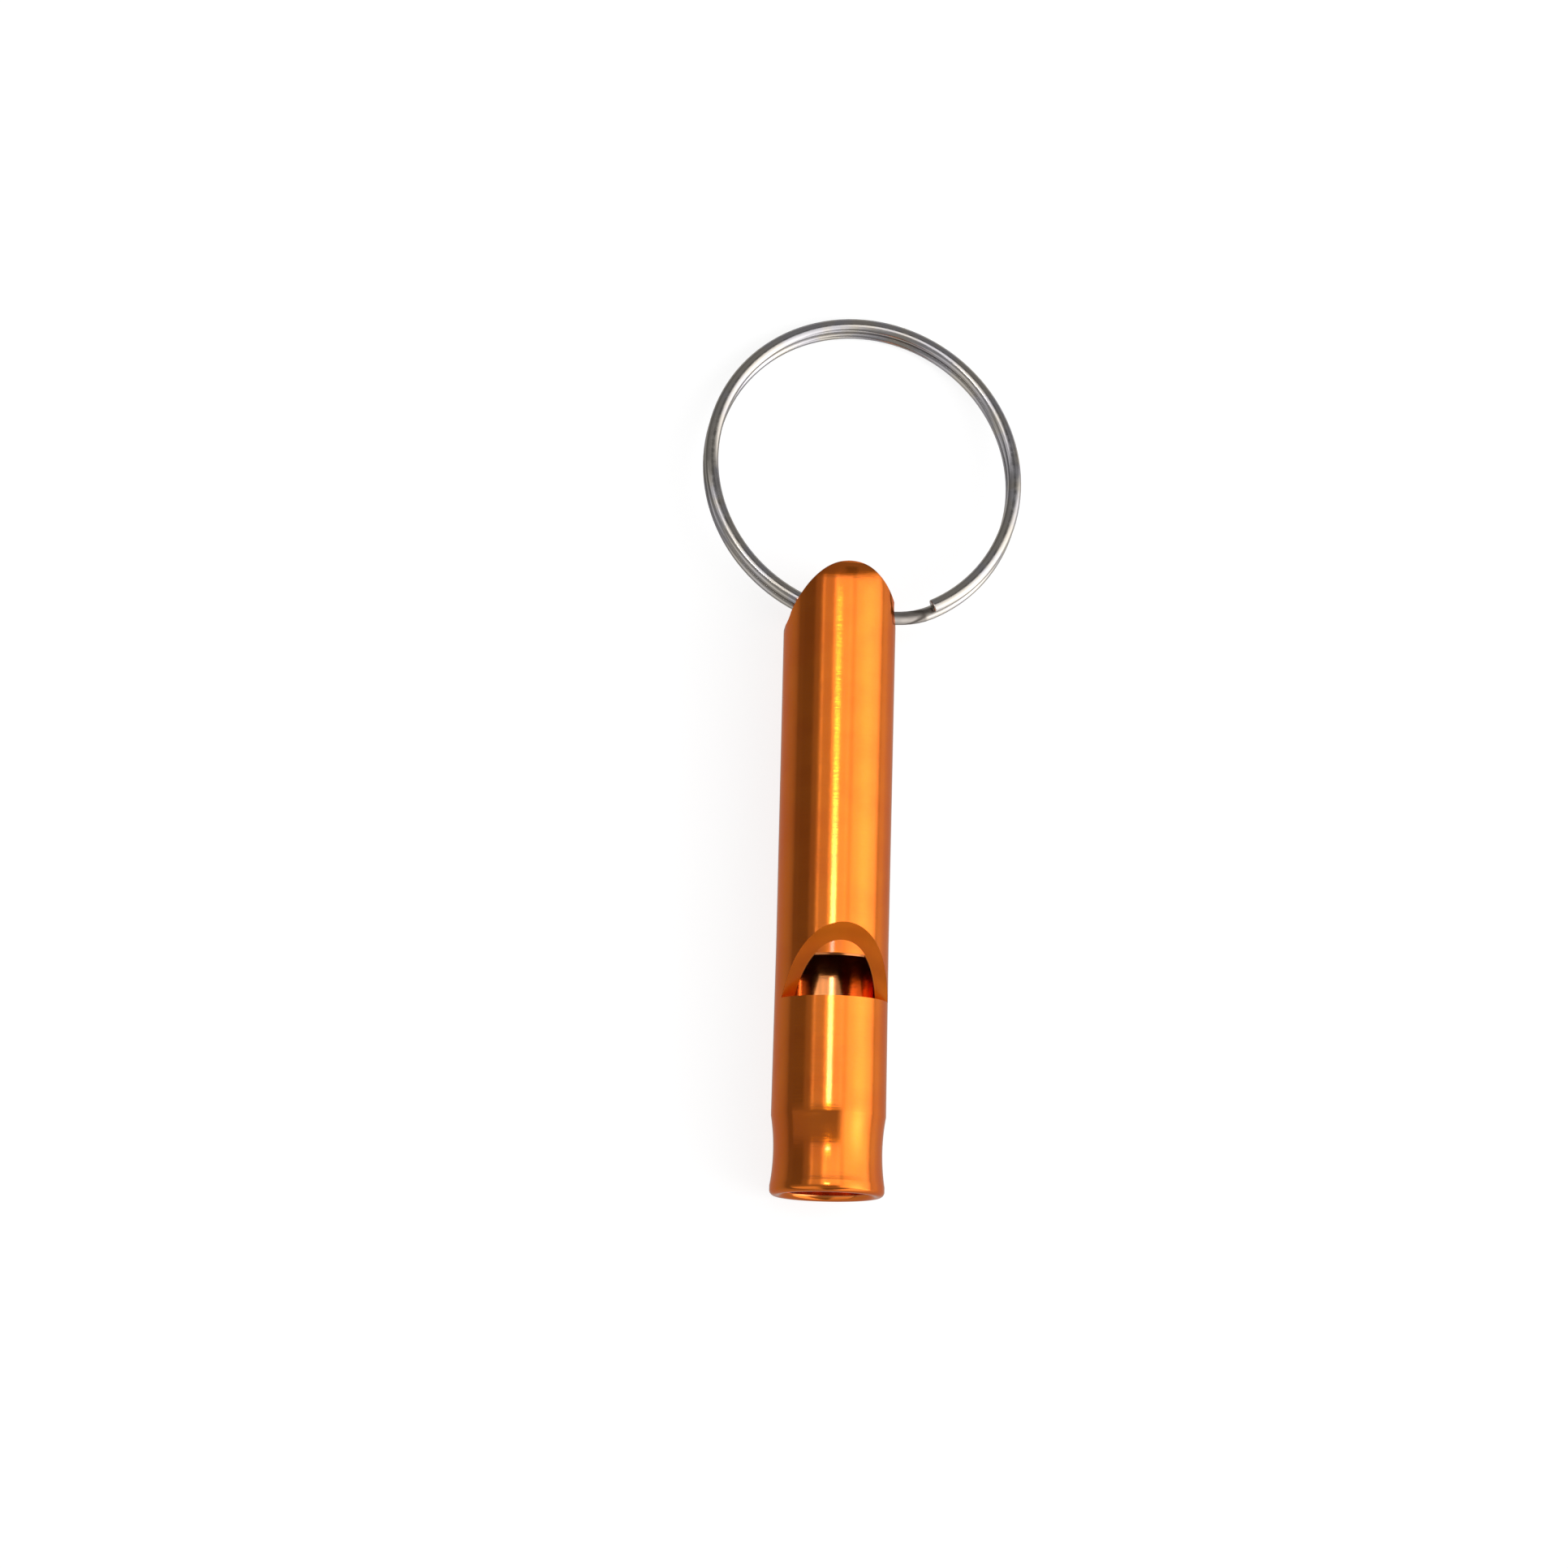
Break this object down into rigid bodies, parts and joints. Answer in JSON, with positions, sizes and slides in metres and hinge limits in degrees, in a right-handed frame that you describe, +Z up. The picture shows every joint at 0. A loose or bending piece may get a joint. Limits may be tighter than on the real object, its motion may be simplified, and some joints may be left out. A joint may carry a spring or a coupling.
{
  "type": "whistle",
  "caption": "Tubular metal key-ring whistle with an arched closed end, a ramped sound window, a windway plug in its waisted mouth and a split ring through a cross hole.",
  "frame": {"origin": "on the table, under the middle of the box of the whole part as it lies with its ring down", "axes": "+Y along the tube from the mouth to the ring, +Z up out of the sound window, +X to the right when seen from the mouth"},
  "size_m": [0.0234, 0.0642, 0.0082],
  "materials": {
    "anodised_tube": "orange anodised over drawn and turned aluminium, satin gloss",
    "plug_aluminium": "orange anodised, turned end faces",
    "ring_plating": "bright nickel plating over spring steel wire"
  },
  "bodies": {
    "whistle": {"whistle_body": "anodised_tube", "fipple_plug": "plug_aluminium"},
    "ring": {"split_ring": "ring_plating"}
  },
  "joints": [
    {"name": "ring_swing", "type": "hinge", "parent": "whistle", "child": "ring", "pos_m": [-0.0018, 0.01018, 0.00408], "axis": [1, 0, 0], "range_deg": [-156, 172]}
  ]
}
